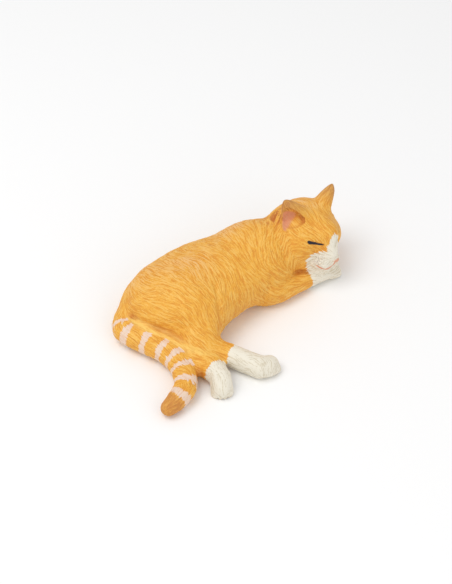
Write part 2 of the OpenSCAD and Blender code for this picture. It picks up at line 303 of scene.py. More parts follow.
@dataclass(frozen=True)
class Ear:
    """A pinna: a tapering shell on the skull, hollow towards the front."""

    side: int
    pose: HeadPose
    seat: Spot = (-2.0, 7.7, 8.8)
    out: Spot = (-0.2, 0.58, 0.78)
    facing: Spot = (0.8, 0.6, 0.0)
    height: float = 9.8
    width: float = 11.2
    fullness: float = 0.62
    depth: float = 0.82
    sunk: float = 3.0
    shell: float = 1.3
    rim: float = 1.2
    edge: float = 0.35
    hollow_aside: float = 1.1
    hollow_forward: float = 2.9
    hollow_from: float = 0.16
    hollow_to: float = 0.93
    bare_way: Spot = (0.54, 0.84, 0.25)
    bare_band: tuple[float, float, float, float] = (-3.0, -2.0, 0.3, 1.5)
    bare_edge: tuple[float, float] = (0.1, 0.5)

    def frame(self) -> tuple[np.ndarray, np.ndarray]:
        """Returns the seat and the ear's across, front and up axes as columns."""
        seat = self.pose.world((self.seat[0], self.side * self.seat[1], self.seat[2]))
        up = self.pose.swing(unit((self.out[0], self.side * self.out[1], self.out[2])))
        facing = self.pose.swing(unit((self.facing[0], self.side * self.facing[1], self.facing[2])))
        across = unit(np.cross(up, facing))
        return seat, np.stack([across, np.cross(across, up), up], 1)

    def local(self, p: Points) -> Points:
        """Returns points in the ear's across, front and up axes."""
        seat, axes = self.frame()
        return (p - seat.astype(p.dtype)) @ axes.astype(p.dtype)

    def cone(self, q: Points, width: float, height: float) -> Values:
        """Returns the gap of a flattened cone with a round tip, in the ear's own axes.

        Args:
            q: Points in the form's own axes, in millimetres.
            width: Width at the foot.
            height: Height of the tip.

        Returns:
            One value for each point.
        """
        t = np.clip(q[:, 2] / height, -0.2, 1.0)
        half = width / 2 * np.power(np.maximum(1.0 - t, 0.0), self.fullness)
        wide = np.sqrt(q[:, 0] ** 2 + (q[:, 1] / self.depth) ** 2)
        return np.maximum((wide - half) * self.depth, np.maximum(q[:, 2] - height, -self.sunk - q[:, 2]))

    def gap(self, p: Points) -> Values:
        """Returns how far each point stands outside the ear's shell."""
        return carve(self.cone(self.local(p), self.width, self.height), self.hollow(p), self.edge)

    def bare(self, p: Points) -> Values:
        """Returns 1 where the inside of the ear is bare skin, and 0 where fur covers it.

        Args:
            p: Points in millimetres.

        Returns:
            One value for each point.
        """
        q = self.local(p)
        across, front, up = self.bare_way
        inner = -self.side * q[:, 0] * across + q[:, 1] * front + q[:, 2] * up
        low, skin, fur, high = self.bare_band
        within = 1 - ease(self.hollow(p), *self.bare_edge)
        return within * ease(inner, low, skin) * (1 - ease(inner, fur, high))

    def hollow(self, p: Points) -> Values:
        """Returns how far each point stands outside the ear's hollow.

        Args:
            p: Points in millimetres.

        Returns:
            One value for each point.
        """
        above = self.height * self.hollow_from
        start = np.array([self.side * self.hollow_aside, self.hollow_forward, above], p.dtype)
        width = self.width - 2 * self.rim * self.shell
        return self.cone(self.local(p) - start, width, self.height * (self.hollow_to - self.hollow_from))


@dataclass(frozen=True)
class Toes:
    """Four toes round the end of a paw, with creases between them."""

    leg: Limb
    radius: float = 1.75
    forward: tuple[float, ...] = (1.2, 2.0, 2.0, 1.2)
    sideways: tuple[float, ...] = (2.45, 0.85, -0.85, -2.45)
    lift: float = 0.2
    length: float = 2.6
    slim: float = 0.9
    soft: float = 0.9
    crease: float = 0.3
    crease_start: float = 0.1
    crease_height: float = 0.95
    crease_soft: float = 0.8
    crease_back: tuple[float, float] = (2.2, 0.9)
    crease_front: tuple[float, float] = (1.8, 1.2)

    def gap(self, p: Points) -> Values:
        """Returns the gap of the leg with its toes.

        Args:
            p: Points in millimetres.

        Returns:
            One value for each point.
        """
        tip = np.array(self.leg.path[-1][:3])
        way = unit(tip - np.array(self.leg.path[-2][:3]))
        side = unit(np.cross([0, 0, 1], way))
        drop = np.array([0, 0, tip[2] - self.radius - self.lift])
        out = self.leg.gap(p)
        balls = [tip + way * f + side * s - drop for f, s in zip(self.forward, self.sideways)]
        for ball in balls:
            back = ball - way * self.length
            out = blend(out, Limb(((*back, self.radius * self.slim), (*ball, self.radius))).gap(p), self.soft)
        for a, b in zip(balls[:-1], balls[1:]):
            mid = (a + b) / 2 + np.array([0, 0, self.radius * self.crease_height])
            start = mid - way * self.crease_back[0] + [0, 0, self.crease_back[1]]
            end = mid + way * self.crease_front[0] - [0, 0, self.crease_front[1]]
            line = Limb(((*start, self.crease_start), (*mid, self.crease), (*end, self.crease)))
            out = carve(out, line.gap(p), self.crease_soft)
        return out


@dataclass
class Cat:
    """Every clay form of the cat, on the design grid in millimetres."""

    pose: HeadPose = field(default_factory=HeadPose)
    ribs: Egg = Egg((12.3, 8.4, 11.4), (45.7, 31.3, 24.2), -4)
    loin: Egg = Egg((-7, 7.4, 10.5), (38.7, 38.5, 26.6))
    hips: Egg = Egg((-21.3, 6.7, 10.5), (31.9, 26.9, 24), 26)
    shoulder: Egg = Egg((19.7, 12, 15), (23.8, 18.4, 19.6), -24)
    haunch: Egg = Egg((-16, -1, 11.5), (26.6, 27, 23.2), 21)
    knee: Limb = Limb(((-17, -3, 11, 9), (-15.5, -9.5, 8.8, 7.0), (-19.5, -15.6, 6.8, 5.9)))
    hock: Limb = Limb(((-19, -13, 6.8, 6.2), (-23, -17.6, 5.4, 5.4)))
    buttock: Limb = Limb(((-25, 3, 7, 7.5), (-23.5, -9, 6.3, 6.3), (-22.5, -16, 5.2, 5.2)))
    rump: Limb = Limb(((-23.7, 11.7, 8.9, 8.9), (-27.9, 14.3, 7.5, 6.6)))
    neck: Limb = Limb(((25.4, 9.9, 11.5, 10), (35.2, 11.1, 13.7, 11.5)))
    arm: Limb = Limb(((10.7, -0.9, 7.5, 6.4), (16.1, -3.1, 6.2, 5.3)))
    fore_right: Limb = Limb((
        (15.5, -3.5, 5.4, 4.9),
        (20.3, -4.5, 5, 5),
        (26, -4.1, 4.6, 4.5),
        (38, -3.8, 3.8, 3.4),
        (46, -2.9, 2.9, 3.5),
    ))
    fore_left: Limb = Limb((
        (23, 9, 5, 5.2),
        (28, 8.7, 4.8, 5.2),
        (34, 7.5, 4, 4.2),
        (43.5, 3.5, 3.4, 3.2),
    ))
    foot_right: Limb = Limb((
        (-18.4, -19.2, 5.8, 4.5),
        (-13, -24.6, 5, 4.2),
        (-5.9, -34.6, 3.9, 4.3),
        (-1.7, -34.8, 2.9, 3.6),
    ))
    foot_left: Limb = Limb((
        (-24.6, -21.8, 4.5, 4.6),
        (-21.8, -27, 4.6, 4.5),
        (-21.4, -32.7, 5, 4.1),
        (-22.4, -35.8, 3.1, 3.8),
    ))
    tail_line: Limb = Limb((
        (-29.5, 14.3, 7, 5.7),
        (-36, 11.1, 6.4, 4.6),
        (-40.6, 5.2, 5.6, 4.5),
        (-36.4, -3.4, 5.2, 4.7),
        (-32.8, -10.2, 5.1, 4.6),
        (-30.7, -17.2, 4.9, 4.7),
        (-31.3, -23.7, 4.7, 4.4),
        (-34, -29.9, 4.3, 4.2),
        (-39, -33.3, 3.8, 3.8),
        (-43.7, -35.1, 3.4, 3),
    ))
    skull: Egg = Egg((-3.4, 0, 1), (23.2, 25.6, 22.9))
    brow: Egg = Egg((2.8, 0, 3.4), (16.2, 14.6, 13))
    cheek: Egg = Egg((2.5, 7.2, -1.1), (12.5, 13.2, 12.5))
    muzzle: Egg = Egg((9.8, 0, -4.4), (9.1, 10.4, 10.2))
    pad: Egg = Egg((10.6, 2.7, -5.8), (8.6, 6.8, 6.4))
    bridge: Limb = Limb(((8.6, 0, 4.6, 4.7), (12.9, 0, -1.9, 2.3)))
    chin: Egg = Egg((9.1, 0, -9.4), (9, 8, 6))
    throat: Egg = Egg((4.5, 0, -8.5), (14, 18, 11))
    nose: Egg = Egg((15.2, 0.9, -3.9), (2.0, 3.0, 1.9))
    neck_seat: Spot = (29.5, 10.5, 13)
    neck_out: Spot = (0.94, -0.2, 0.28)
    fold: Limb = Limb((
        (-38.3, 7.2, 9.6, 0.3),
        (-37.4, 2.6, 10.6, 0.9),
        (-34.4, -3, 10.0, 1.3),
        (-30.2, -8, 8.8, 1.4),
        (-28.4, -13, 8.9, 1.3),
        (-26.4, -18.5, 8.9, 1.2),
        (-23.5, -22.3, 9, 1.0),
        (-19.5, -25.7, 7.7, 0.8),
        (-16.8, -28.2, 6, 0.5),
    ))
    vent_at: tuple[float, float] = (-4.0, 8.0)
    vent_radius: float = 3.0
    vent_depth: float = 8.0
    vent_margin: float = 0.3
    vent_fade: float = 0.2
    foot_fade: tuple[float, float] = (0.03, 0.12)
    trunk_soft: float = 8.0
    haunch_soft: float = 5.0
    hock_soft: float = 3.0
    buttock_soft: float = 2.0
    fold_soft: float = 0.9
    fold_reach: float = 4.0
    neck_soft: float = 5.0
    arm_soft: float = 3.0
    head_reach: float = 17.0
    skull_soft: float = 4.0
    pad_soft: float = 1.0
    bridge_soft: float = 3.0
    chin_soft: float = 1.5
    nose_soft: float = 0.8
    nape_soft: float = 4.0
    ear_soft: float = 1.6
    limb_soft: float = 0.9
    root_reach: float = 7.0
    reach: float = 9.0
    seam: float = -0.02

    def __post_init__(self) -> None:
        """Sets the ears, the limbs bent smoothly, and how softly each limb joins the body."""
        self.ears = {Part.EAR_RIGHT: Ear(-1, self.pose), Part.EAR_LEFT: Ear(1, self.pose)}
        self.limbs: dict[Part, Limb] = {
            Part.TAIL: self.tail_line.smoothed(3),
            Part.FORELEG_RIGHT: self.fore_right.smoothed(2),
            Part.FORELEG_LEFT: self.fore_left.smoothed(2),
            Part.FOOT_RIGHT: self.foot_right.smoothed(2),
            Part.FOOT_LEFT: self.foot_left.smoothed(2),
        }
        self.root_soft = {
            Part.TAIL: 5.0,
            Part.FORELEG_RIGHT: 4.0,
            Part.FORELEG_LEFT: 4.0,
            Part.FOOT_RIGHT: 4.5,
            Part.FOOT_LEFT: 3.0,
        }

    def body_gap(self, p: Points) -> Values:
        """Returns the gap of the trunk, thigh and neck pressed together.

        Args:
            p: Points in millimetres.

        Returns:
            One value for each point.
        """
        soft = self.trunk_soft
        d = blend(blend(self.ribs.gap(p), self.loin.gap(p), soft), self.hips.gap(p), soft)
        d = blend(d, blend(self.shoulder.gap(p), self.rump.gap(p), soft), soft)
        thigh = blend(self.haunch.gap(p), self.knee.gap(p), self.haunch_soft)
        thigh = blend(thigh, self.hock.gap(p), self.hock_soft)
        d = blend(blend(d, thigh, self.haunch_soft), self.buttock.gap(p), self.buttock_soft)
        fold = where_near(self.fold.room(p), self.fold_reach, self.fold.gap, p)
        d = blend(blend(d, fold, self.fold_soft), self.neck.gap(p), self.neck_soft)
        return blend(d, self.arm.gap(p), self.arm_soft)

    def face_gap(self, p: Points) -> Values:
        """Returns the gap of the head without its ears."""
        q = self.pose.local(p)
        return where_near(np.linalg.norm(q, axis=1) - self.head_reach, self.reach, self.face, q)

    def face(self, q: Points) -> Values:
        """Returns the gap of the skull, cheeks and muzzle, from points in the head's own axes.

        Args:
            q: Points in the form's own axes, in millimetres.

        Returns:
            One value for each point.
        """
        d = self.skull.gap(q)
        for lump in (self.brow, self.cheek, self.cheek.mirrored(), self.throat):
            d = blend(d, lump.gap(q), self.skull_soft)
        pads = np.minimum(self.pad.gap(q), self.pad.mirrored().gap(q))
        snout = blend(self.muzzle.gap(q), pads, self.pad_soft)
        snout = blend(blend(snout, self.bridge.gap(q), self.bridge_soft), self.chin.gap(q), self.chin_soft)
        return blend(blend(d, snout, self.bridge_soft), self.nose.gap(q), self.nose_soft)

    def part_gaps(self, p: Points) -> dict[Part, Values]:
        """Returns the gap of each limb and ear by itself.

        Args:
            p: Points in millimetres.

        Returns:
            The gap at every point, by piece.
        """
        out = {}
        for part, limb in self.limbs.items():
            form = limb.gap if part is Part.TAIL else Toes(limb).gap
            out[part] = where_near(limb.room(p), self.reach, form, p)
        for part, ear in self.ears.items():
            middle = np.array([0, 0, ear.height / 2], p.dtype)
            far = np.linalg.norm(ear.local(p) - middle, axis=1) - ear.height
            out[part] = where_near(far, self.reach, ear.gap, p)
        return out

    def from_vent(self, p: Points) -> Values:
        """Returns how far each point stands from the middle line of the vent in the underside."""
        return np.hypot(p[:, 0] - self.vent_at[0], p[:, 1] - self.vent_at[1])

    def bare_clay(self, p: Points) -> Values:
        """Returns 1 on the underside and in the vent, where no paint reaches, and 0 elsewhere.

        Args:
            p: Points in millimetres.

        Returns:
            One value for each point.
        """
        under = 1 - ease(p[:, 2], *self.foot_fade)
        low = ease(self.vent_depth + self.vent_fade - p[:, 2], 0, self.vent_fade)
        inside = ease(self.vent_radius + self.vent_margin - self.from_vent(p), 0, self.vent_fade)
        return np.maximum(under, low * inside)

    def constraints(self, part: Part, p: Points) -> np.ndarray:
        """Gives what bounds one piece.

        Args:
            part: The piece.
            p: Points in millimetres.

        Returns:
            Rows of the modelled surface, the seam with the neighbours, and the ground underside.
        """
        body, face = self.body_gap(p), self.face_gap(p)
        gaps = self.part_gaps(p)
        core = blend(body, face, self.nape_soft)
        whole = core
        for name, gap in gaps.items():
            if name in self.limbs:
                far = np.sum((p - self.limbs[name].root().astype(p.dtype)) ** 2, axis=1)
                near = np.exp(-far / (2 * self.root_reach**2))
                whole = blend(whole, gap, self.limb_soft + (self.root_soft[name] - self.limb_soft) * near)
            else:
                whole = blend(whole, gap, self.ear_soft)
        neck = (p - np.asarray(self.neck_seat, p.dtype)) @ unit(self.neck_out).astype(p.dtype)
        walls = {}
        for name, gap in gaps.items():
            rest = core
            for other, other_gap in gaps.items():
                rest = rest if other is name else np.minimum(rest, other_gap)
            wall = (gap - rest) / 2
            if name in self.limbs:
                limb = self.limbs[name]
                wall = np.maximum(wall, -((p - limb.root().astype(p.dtype)) @ limb.way().astype(p.dtype)))
            walls[name] = wall
        if part in walls:
            wall = walls[part]
        else:
            wall = neck if part is Part.TORSO else -neck
            for other in walls.values():
                wall = np.maximum(wall, -other)
        if part is Part.TORSO:
            vent = np.minimum(self.vent_radius - self.from_vent(p), self.vent_depth - p[:, 2])
            wall = np.maximum(wall, vent)
        return np.stack([whole, wall + self.seam, -p[:, 2]])


# ---------------------------------------------------------------- skins


@dataclass(frozen=True)
class Skin:
    """Closed quad mesh of one piece, in millimetres."""

    points: Points
    quads: np.ndarray

    def largest(self) -> "Skin":
        """Returns the mesh without any loose crumbs of clay beside its main body."""
        name = np.arange(len(self.points))
        while True:
            low = name[self.quads].min(1)
            new = name.copy()
            np.minimum.at(new, self.quads.ravel(), np.repeat(low, 4))
            new = new[new]
            if (new == name).all():
                break
            name = new
        keep = name == np.bincount(name).argmax()
        index = np.cumsum(keep) - 1
        return Skin(self.points[keep], index[self.quads[keep[self.quads[:, 0]]]])


@dataclass(frozen=True)
class Skinner:
    """Lays an even mesh of quads over a form."""

    step: float
    coarse: int = 4
    before: float = 3.37
    beyond: float = 3.0
    mend_rounds: int = 6
    probe: float = 0.02
    edge_share: float = 0.7
    least_slope: float = 0.2

    def values(self, form: Gap, low: np.ndarray, count: np.ndarray) -> np.ndarray:
        """Samples a form on a grid, finely only near its surface.

        Args:
            form: The gap to sample.
            low: The grid's lowest corner.
            count: Coarse cells along each axis.

        Returns:
            The form's gap at every fine grid point.
        """
        k = self.coarse
        wide = [low[i] + self.step * k * np.arange(count[i] + 1) for i in range(3)]
        grid = np.stack(np.meshgrid(*wide, indexing="ij"), -1).reshape(-1, 3).astype(np.float32)
        rough = form(grid).reshape(count + 1)
        corners = [rough[i : count[0] + i, j : count[1] + j, m : count[2] + m] for i, j, m in CORNERS]
        nearest = np.min([np.abs(c) for c in corners], axis=0)
        busy = nearest < self.step * k * math.sqrt(3)
        size = count * k + 1
        mask = np.zeros(size, bool)
        fine = rough
        for axis in range(3):
            busy = np.repeat(busy, k, axis)
            fine = np.repeat(fine, k, axis)
        fine = fine[: size[0], : size[1], : size[2]].copy()
        for i, j, m in CORNERS:
            mask[i : size[0] - 1 + i, j : size[1] - 1 + j, m : size[2] - 1 + m] |= busy
        at = np.argwhere(mask)
        fine[mask] = form((low + at * self.step).astype(np.float32))
        return fine

    @staticmethod
    def squares(u: int, v: int) -> list[tuple[slice, ...]]:
        """Returns the four cuts of a grid that hold the corners of every square in the u, v plane.

        Args:
            u: One axis of the plane.
            v: The plane's other axis.

        Returns:
            The cuts, one for each corner.
        """
        sides = (slice(0, -1), slice(1, None))
        cuts = []
        for i in (0, 1):
            for j in (0, 1):
                cut = [slice(None)] * 3
                cut[u], cut[v] = sides[i], sides[j]
                cuts.append(tuple(cut))
        return cuts

    def mend(self, inside: np.ndarray) -> np.ndarray:
        """Returns the inside with its corner-to-corner touches filled, so that no edge has four faces.

        Args:
            inside: Whether each grid point is inside the form.

        Returns:
            The mended inside.
        """
        for _ in range(self.mend_rounds):
            filled = inside.copy()
            for u, v in ((0, 1), (1, 2), (0, 2)):
                cuts = self.squares(u, v)
                a, b, c, d = (inside[cut] for cut in cuts)
                touch = (a & d & ~b & ~c) | (b & c & ~a & ~d)
                for cut in cuts:
                    filled[cut] |= touch
            if (filled == inside).all():
                break
            inside = filled
        return inside

    def wrap(self, form: Gap, low: Sequence[float], high: Sequence[float]) -> Skin:
        """Finds the surface between the inside and the outside of a form.

        Args:
            form: The gap, below zero inside.
            low: Lowest corner of the space that holds the form.
            high: Highest corner of that space.

        Returns:
            A closed mesh with one point in each grid cell that the surface crosses.
        """
        low = np.asarray(low, float) - self.step * self.before
        room = np.asarray(high) + self.step * self.beyond - low
        count = np.ceil(room / (self.step * self.coarse)).astype(int)
        f = self.values(form, low, count)
        inside = self.mend(f < 0)
        n = np.array(f.shape) - 1
        tally = sum(inside[i : n[0] + i, j : n[1] + j, m : n[2] + m].astype(np.int8) for i, j, m in CORNERS)
        cells = np.argwhere((tally > 0) & (tally < len(CORNERS)))
        index = np.full(n, -1, np.int32)
        index[tuple(cells.T)] = np.arange(len(cells))
        points = low + (cells + self.crossings(f, inside, cells)) * self.step
        return Skin(points, self.quads(inside, index)).largest()

    @staticmethod
    def crossings(f: np.ndarray, inside: np.ndarray, cells: np.ndarray) -> Points:
        """Finds where the surface runs in each cell.

        Args:
            f: The form's gap at every grid point.
            inside: Whether each grid point is inside the form.
            cells: The cells that the surface crosses.

        Returns:
            The middle of the surface's crossings with each cell's edges, from 0 to 1 along each axis.
        """
        total, hits = np.zeros((len(cells), 3)), np.zeros(len(cells))
        for axis in range(3):
            others = [a for a in range(3) if a != axis]
            for i in (0, 1):
                for j in (0, 1):
                    start = np.zeros(3, int)
                    start[others[0]], start[others[1]] = i, j
                    end = start.copy()
                    end[axis] = 1
                    a = f[tuple((cells + start).T)]
                    b = f[tuple((cells + end).T)]
                    cross = inside[tuple((cells + start).T)] != inside[tuple((cells + end).T)]
                    t = np.where((a < 0) != (b < 0), a / np.where(a == b, 1, a - b), 0.5) * cross
                    spot = start + np.outer(t, end - start)
                    total += spot * cross[:, None]
                    hits += cross
        return total / hits[:, None]

    @staticmethod
    def quads(inside: np.ndarray, index: np.ndarray) -> np.ndarray:
        """Lays a quad across every grid edge that leaves the form.

        Args:
            inside: Whether each grid point is inside the form.
            index: The mesh point of each cell.

        Returns:
            The four mesh points of each quad, facing outwards.
        """
        quads = []
        for axis in range(3):
            u, v = (axis + 1) % 3, (axis + 2) % 3
            a = inside[tuple(slice(0, -1) if k == axis else slice(1, -1) for k in range(3))]
            b = inside[tuple(slice(1, None) if k == axis else slice(1, -1) for k in range(3))]
            for sign, where in ((1, a & ~b), (-1, ~a & b)):
                at = np.argwhere(where)
                at[:, u] += 1
                at[:, v] += 1
                ring = []
                for du, dv in ((-1, -1), (0, -1), (0, 0), (-1, 0)):
                    cell = at.copy()
                    cell[:, u] += du
                    cell[:, v] += dv
                    ring.append(index[tuple(cell.T)])
                quads.append(np.stack(ring[::sign], 1))
        return np.concatenate(quads)

    def settle(self, skin: Skin, rows: Callable[[Points], np.ndarray], rounds: int = 5) -> Skin:
        """Draws a mesh onto its surfaces, and its edges onto the edges where two surfaces meet.

        Args:
            skin: The mesh.
            rows: The surfaces' gaps, one row each; the piece is inside all of them.
            rounds: How many moves each point makes.

        Returns:
            The mesh with its points moved.
        """
        p = skin.points.copy()
        for turn in range(rounds):
            gaps = rows(p)
            order = np.argsort(-gaps, axis=0)
            pick = order[0].copy()
            second = order[1]
            close = np.abs(np.take_along_axis(gaps, second[None], 0)[0]) < self.step * self.edge_share
            if turn % 2 == 1:
                pick = np.where(close, second, pick)
            slope = np.zeros_like(p)
            for tip in TIPS * self.probe:
                value = np.take_along_axis(rows(p + tip), pick[None], 0)[0]
                slope += value[:, None] * tip / (len(TIPS) * self.probe**2)
            gap = np.take_along_axis(gaps, pick[None], 0)[0]
            move = gap[:, None] * slope / np.maximum(np.sum(slope**2, 1), self.least_slope)[:, None]
            size = np.linalg.norm(move, axis=1, keepdims=True)
            p -= move * np.minimum(1.0, self.step / np.maximum(size, 1e-9))
        return Skin(p, skin.quads)


# ---------------------------------------------------------------- carved and painted coat


def dice(cells: np.ndarray) -> Values:
    """Returns a fixed chance value from 0 to 1 for every whole-number cell."""
    n = cells[:, 0] * 73856093 ^ cells[:, 1] * 19349663 ^ cells[:, 2] * 83492791
    n = (n ^ (n >> 13)) * 1274126177 & 0x7FFFFFFF
    return ((n ^ (n >> 15)) & 0xFFFF) / 65535.0


def grain(p: Points, pitch: float) -> Values:
    """Returns smooth noise from 0 to 1, its spots pitch millimetres apart.

    Args:
        p: Points in millimetres.
        pitch: Distance between spots in millimetres.

    Returns:
        One value for each point.
    """
    cell = np.floor(p / pitch).astype(np.int64)
    f = p / pitch - cell
    f = f * f * (3 - 2 * f)
    total = np.zeros(len(p))
    for i, j, m in CORNERS:
        share = np.abs((1 - i) - f[:, 0]) * np.abs((1 - j) - f[:, 1]) * np.abs((1 - m) - f[:, 2])
        total += share * dice(cell + (i, j, m))
    return total


def strands(p: Points, way: Points, pitch: float, reach: float, taps: int = 9) -> Values:
    """Draws noise out along a direction, as hair.

    Args:
        p: Points in millimetres.
        way: Direction of the hair at each point.
        pitch: Width of a lock.
        reach: Half the length of a lock.
        taps: How many samples are drawn together.

    Returns:
        The hair's height at each point, from about -1 to 1.
    """
    steps = np.linspace(-reach, reach, taps)
    total = sum(grain(p + way * k, pitch) for k in steps) / taps
    return np.clip((total - 0.5) / 0.18, -1.0, 1.0)


@dataclass(frozen=True)
class Comb:
    """A place on the coat and the way its fur lies."""

    at: Spot
    way: Spot


@dataclass(frozen=True)
class Lump:
    """A round neighbourhood on the figure and how strongly something applies there."""

    at: Spot
    reach: float
    amount: float

    def share(self, p: Points) -> Values:
        """Returns the amount at each point, fading with distance."""
        return self.amount * np.exp(-np.sum((p - np.array(self.at)) ** 2, axis=1) / (2 * self.reach**2))


BODY_COMBS = (
    Comb((-22, 14, 22), (0.4, -0.9, 0.25)),
    Comb((-36, 9, 16), (0.35, -0.9, 0.35)),
    Comb((-33, 0, 16), (0.6, -0.8, 0.0)),
    Comb((-28, -8, 12), (0.6, -0.7, -0.3)),
    Comb((-9, 4, 24), (0.55, -0.8, 0.0)),
    Comb((-20, -3, 23), (0.45, -0.9, -0.1)),
    Comb((-19, -10, 20), (0.1, -0.85, -0.6)),
    Comb((-25, -15, 11), (0.1, -1.0, 0.0)),
    Comb((-19, -22, 9), (0.45, -0.8, -0.3)),
    Comb((-7, -2, 23), (-0.3, -0.9, -0.3)),
    Comb((-10, -12, 17), (-0.2, -0.7, -0.8)),
    Comb((1, 4, 24), (0.15, -1.0, -0.15)),
    Comb((2, -9, 15), (0.0, -0.4, -0.9)),
    Comb((12, 14, 25), (0.2, -1.0, 0.2)),
    Comb((17, 4, 24), (-0.3, -0.9, -0.4)),
    Comb((13, -7, 14), (0.1, -0.3, -1.0)),
    Comb((17, -8, 10), (1.0, -0.1, -0.2)),
    Comb((27, 8, 25), (-0.6, -0.75, -0.1)),
    Comb((28, 17, 23), (-0.9, -0.3, 0.1)),
    Comb((24, 0, 21), (-0.35, -0.8, -0.5)),
    Comb((-20, 24, 14), (-0.4, 0.1, -0.9)),
    Comb((0, 25, 14), (-0.4, 0.1, -0.9)),
    Comb((20, 24, 14), (-0.5, 0.1, -0.8)),
    Comb((-37, 15, 10), (-0.5, 0.1, -0.8)),
)


@dataclass
class Coat:
    """How the fur lies, how deeply it is carved, and where each paint goes."""

    cat: Cat
    comb_reach: float = 6.0
    lock: float = 0.85
    lock_length: float = 1.5
    # How far out from the surface to look for nearby clay when painting shade into hollows and creases.
    shade_probe: float = 1.6
    whisker_root: Spot = (15.5, 0, -2.5)
    # How much the listed crease lines add to the painted shade in creases.
    crease_shade_share: float = 0.15
    crease_width: float = 0.9
    crease_depth: float = 0.45
    groove_width: float = 0.3
    lid_depth: float = 0.18
    mouth_depth: float = 0.3
    nape_back: float = 0.6
    nape_width: float = 0.7
    nape_depth: float = 0.45
    probe: float = 0.06
    sway: float = 1.1
    sway_pitch: float = 4.2
    brush_from: float = 6.0
    body_depth: float = 0.2
    face_depth: float = 0.11
    nose_shallow: float = 0.07
    tail_depth: float = 0.12
    leg_depth: float = 0.08
    ear_depth: float = 0.04
    lip_clear: float = 0.02
    bib_soft: float = 2.0
    fold_width: float = 0.8
    freckle_reach: float = 2.4
    tail_tip: tuple[float, float] = (59.0, 61.5)
    ear_tip_from: float = -0.1
    sock_right: float = 8.6
    sock_left: float = 7.8
    cuff_right: float = 18.8
    cuff_left: float = 14.0
    rings: tuple[tuple[float, float], ...] = (
        (13.7, 0.8),
        (18.0, 1.1),
        (25.9, 1.35),
        (33.4, 1.3),
        (39.7, 1.25),
        (45.5, 1.1),
        (52.0, 1.2),
        (58.4, 1.5),
    )
    bib: Egg = Egg((12, 0, -6.5), (40, 16.5, 13.5))
    blaze: Limb = Limb(((13, 0, 7.2, 0.3), (12.8, 0, 4, 2.2), (12.5, 0, 1, 3.0)))
    lids: tuple[Limb, ...] = (
        Limb((
            (0, -8.4, 2.8, 0.66),
            (0, -7.3, 2.55, 0.6),
            (0, -6.0, 2.3, 0.46),
            (0, -5.0, 2.2, 0.42),
            (0, -4.2, 2.25, 0.36),
        ), 0.1),
        Limb(((0, 8.4, 2.8, 0.6), (0, 6.0, 2.4, 0.46), (0, 4.2, 2.6, 0.42), (0, 2.4, 3.6, 0.4)), 0.1),
    )
    mouth: tuple[Limb, ...] = (
        Limb((
            (0, -5.9, -6.4, 0.2),
            (0, -4.9, -7.1, 0.26),
            (0, -3.6, -7.9, 0.3),
            (0, -1.2, -8.7, 0.3),
            (0, 0.7, -8.6, 0.3),
        ), 0.1),
        Limb(((0, 0.7, -8.6, 0.3), (0, 1.7, -7.6, 0.26), (0, 1.6, -5.2, 0.26)), 0.1),
        Limb(((0, 0.7, -8.6, 0.3), (0, 3.8, -7.9, 0.3), (0, 5.9, -6.4, 0.2)), 0.1),
    )
    creases: tuple[Limb, ...] = (
        Limb((
            (-7.5, -5.5, 21.6, 0.1),
            (-9.4, -11.1, 18.2, 0.3),
            (-10.4, -15, 12.2, 0.5),
            (-10, -15.3, 9.5, 0.5),
        )),
        Limb(((15.0, -7.8, 12.5, 0.1), (12.6, -8.2, 9.5, 0.4), (11.4, -8.3, 6.6, 0.5), (11.1, -7.6, 3, 0.5))),
        Limb((
            (-37.3, 6.5, 12, 0.1),
            (-34.3, -0.5, 12, 0.4),
            (-31, -5.5, 11.2, 0.6),
            (-28.4, -10, 10.7, 0.7),
            (-26, -15, 10.8, 0.6),
            (-23.6, -19, 10.4, 0.3),
        )),
        Limb((
            (34.4, -5.4, 10.8, 0.1),
            (36.6, -6.7, 9.4, 0.1),
            (38.5, -7.4, 8.2, 0.2),
            (42.2, -6.5, 5.8, 0.2),
            (45.9, -6.2, 4.6, 0.1),
        )),
    )
    freckles: Spot = (11.8, -5.4, -4.0)
    # Lighter, pinkish patches on the highest points of the back, haunch and head: where they lie and how
    # strongly.
    pale_tops: tuple[Lump, ...] = (
        Lump((-12, 8, 25), 5.5, 0.9),
        Lump((-27, 16, 20), 6, 0.7),
        Lump((6, 20, 24), 6, 0.7),
        Lump((17, 19, 25), 4, 0.8),
        Lump((42, 12, 29), 4, 0.8),
    )
    # Painted shade between the deeply carved tufts behind the near ear: where it falls and how strongly.
    shaded_tuft_spots: tuple[Lump, ...] = (
        Lump((31, 14.5, 26), 3.2, 1.0),
        Lump((27.5, 13, 25), 3.0, 0.9),
        Lump((29.5, 9, 26.5), 2.5, 0.7),
    )
    depths: tuple[Lump, ...] = (
        Lump((29, 13, 26), 4.0, 0.4),
        Lump((-33, -2, 13), 4.0, 0.1),
        Lump((-27, -11, 12), 4.0, 0.1),
        Lump((-12, -13, 16), 5.0, 0.06),
        Lump((-20, 14, 24), 9.0, -0.04),
    )

    def __post_init__(self) -> None:
        """Sets how far down its limb each sock begins."""
        self.socks = {
            Part.FOOT_RIGHT: self.sock_right,
            Part.FOOT_LEFT: self.sock_left,
            Part.FORELEG_RIGHT: self.cuff_right,
            Part.FORELEG_LEFT: self.cuff_left,
        }

    def pressed(self, p: Points) -> Values:
        """Returns how far each point lies in a crease between two masses, 1 in the crease itself."""
        return sum(np.exp(-((np.maximum(line.gap(p), 0) / self.crease_width) ** 2)) for line in self.creases)

    def slopes(self, p: Points) -> Points:
        """Returns the outward direction of the figure's surface at each point."""
        return units(sum(self.whole(p + tip)[:, None] * tip for tip in TIPS * self.probe))

    def whole(self, p: Points) -> Values:
        """Returns the gap of the whole figure."""
        return self.cat.constraints(Part.TORSO, p)[0]

